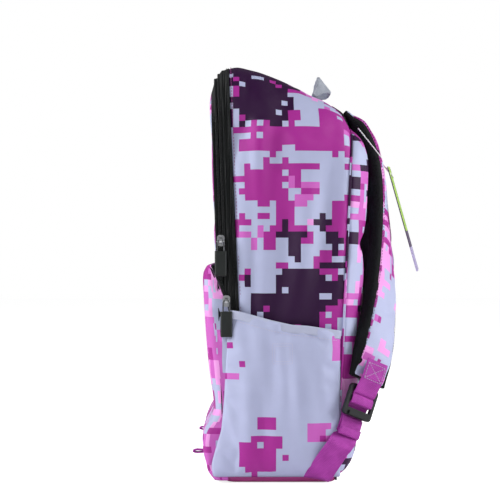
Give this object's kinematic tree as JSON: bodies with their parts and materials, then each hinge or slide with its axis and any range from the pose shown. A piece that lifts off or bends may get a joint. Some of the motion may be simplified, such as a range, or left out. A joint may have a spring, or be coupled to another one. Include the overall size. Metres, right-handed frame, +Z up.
{
  "type": "school backpack",
  "caption": "School backpack with a zipped main compartment, front and side pockets, haul loop, padded back and adjustable shoulder straps.",
  "frame": {"origin": "on the floor under the middle of the bag's base", "axes": "+X to the wearer's right, +Y to the wearer's back and the straps, +Z up"},
  "size_m": [0.336, 0.2508, 0.444],
  "materials": {
    "printed_fabric": "satin polyester with a printed square camouflage in magenta, dark purple, pink and pale lavender",
    "pink_fabric": "plain pink polyester",
    "black_tape": "black woven zipper tape with ribs",
    "zipper_chain": "black nylon coil",
    "elastic_hem": "pale hem with elastic",
    "lining": "thin plain lining",
    "foam": null,
    "mesh": "black spacer mesh",
    "slider_metal": "zinc slider, dark paint with worn silver edges",
    "pull_rubber": "moulded rubber grip",
    "grey_webbing": "grey ribbed webbing",
    "pink_webbing": "magenta ribbed webbing",
    "buckle_plastic": "black moulded acetal",
    "tag_card": "coated card, green with a purple edge",
    "tag_string": "thin white nylon loop"
  },
  "bodies": {
    "bag": {"back_foam": "foam", "back_lining": "lining", "back_panel": "printed_fabric", "base_panel": "pink_fabric", "front_pocket_panel": "printed_fabric", "front_tabs": "pink_webbing", "haul_loop_base": "grey_webbing", "lower_front_panel": "printed_fabric", "main_zipper_chain_rear": "zipper_chain", "pocket_top_band": "black_tape", "pocket_zipper_chain": "zipper_chain", "side_gusset": "printed_fabric", "side_pocket_hem_left": "elastic_hem", "side_pocket_hem_right": "elastic_hem", "side_pocket_left": "printed_fabric", "side_pocket_right": "printed_fabric", "strap_top_left": "printed_fabric", "strap_top_right": "printed_fabric", "strap_yoke": "grey_webbing", "webbing_anchor_left": "pink_webbing", "webbing_anchor_right": "pink_webbing", "zipper_band_lower": "black_tape", "zipper_band_rear": "black_tape"},
    "front_flap": {"front_panel_upper": "printed_fabric", "zipper_band_flap": "black_tape", "main_zipper_chain_flap": "zipper_chain"},
    "pocket_lip": {"pocket_lip_panel": "printed_fabric"},
    "main_slider": {"main_slider": "slider_metal"},
    "main_pull": {"main_pull_link": "slider_metal", "main_pull_grip": "pull_rubber"},
    "pocket_slider": {"pocket_slider": "slider_metal"},
    "pocket_pull": {"pocket_pull_link": "slider_metal", "pocket_pull_grip": "pull_rubber"},
    "haul_loop": {"haul_loop": "grey_webbing"},
    "strap_right": {"strap_face_right": "printed_fabric", "strap_foam_right": "foam", "strap_mesh_right": "mesh", "strap_patch_right": "pink_webbing", "strap_webbing_right": "pink_webbing", "ladder_lock_right": "buckle_plastic"},
    "tail_right": {"webbing_tail_right": "pink_webbing"},
    "strap_left": {"strap_face_left": "printed_fabric", "strap_foam_left": "foam", "strap_mesh_left": "mesh", "strap_patch_left": "pink_webbing", "strap_webbing_left": "pink_webbing", "ladder_lock_left": "buckle_plastic"},
    "tail_left": {"webbing_tail_left": "pink_webbing"},
    "hang_tag": {"hang_tag": "tag_card", "tag_loop": "tag_string"}
  },
  "joints": [
    {"name": "flap_fold", "type": "hinge", "parent": "bag", "child": "front_flap", "pos_m": [0, -0.07019, 0.242], "axis": [1, 0, 0], "range_deg": [0, 88]},
    {"name": "lip_fold", "type": "hinge", "parent": "bag", "child": "pocket_lip", "pos_m": [0, -0.083, 0.186], "axis": [1, 0, 0], "range_deg": [0, 80]},
    {"name": "main_slider_travel", "type": "slide", "parent": "bag", "child": "main_slider", "axis": [0, -0.0339, 0.9994], "range_m": [0, 0.1]},
    {"name": "main_pull_swing", "type": "hinge", "parent": "main_slider", "child": "main_pull", "pos_m": [0.156, -0.065, 0.257], "axis": [0, -1, 0], "range_deg": [0, 110]},
    {"name": "pocket_slider_travel", "type": "slide", "parent": "bag", "child": "pocket_slider", "axis": [0, -0.389, 0.9213], "range_m": [0, 0.018]},
    {"name": "pocket_pull_swing", "type": "hinge", "parent": "pocket_slider", "child": "pocket_pull", "pos_m": [0.1567, -0.059, 0.193], "axis": [0, -1, 0], "range_deg": [0, 110]},
    {"name": "haul_loop_fold", "type": "hinge", "parent": "bag", "child": "haul_loop", "pos_m": [0, 0.036, 0.4165], "axis": [1, 0, 0], "range_deg": [-5, 60]},
    {"name": "strap_swing_right", "type": "hinge", "parent": "bag", "child": "strap_right", "pos_m": [0.0585, 0.0898, 0.3823], "axis": [0.2754, -0.0668, -0.959], "range_deg": [-5, 4]},
    {"name": "strap_swing_left", "type": "hinge", "parent": "bag", "child": "strap_left", "pos_m": [-0.0585, 0.0898, 0.3823], "axis": [0.2754, 0.0668, 0.959], "range_deg": [-5, 4]},
    {"name": "tail_swing_right", "type": "hinge", "parent": "strap_right", "child": "tail_right", "pos_m": [0.1512, 0.07513, 0.06898], "axis": [0.4668, -0.8085, 0.3584], "range_deg": [0, 45]},
    {"name": "tail_swing_left", "type": "hinge", "parent": "strap_left", "child": "tail_left", "pos_m": [-0.1512, 0.07513, 0.06898], "axis": [0.4668, 0.8085, -0.3584], "range_deg": [0, 45]},
    {"name": "tag_swing", "type": "hinge", "parent": "strap_right", "child": "hang_tag", "pos_m": [0.062, 0.08398, 0.37938], "axis": [1, 0, 0], "range_deg": [0, 30]}
  ]
}
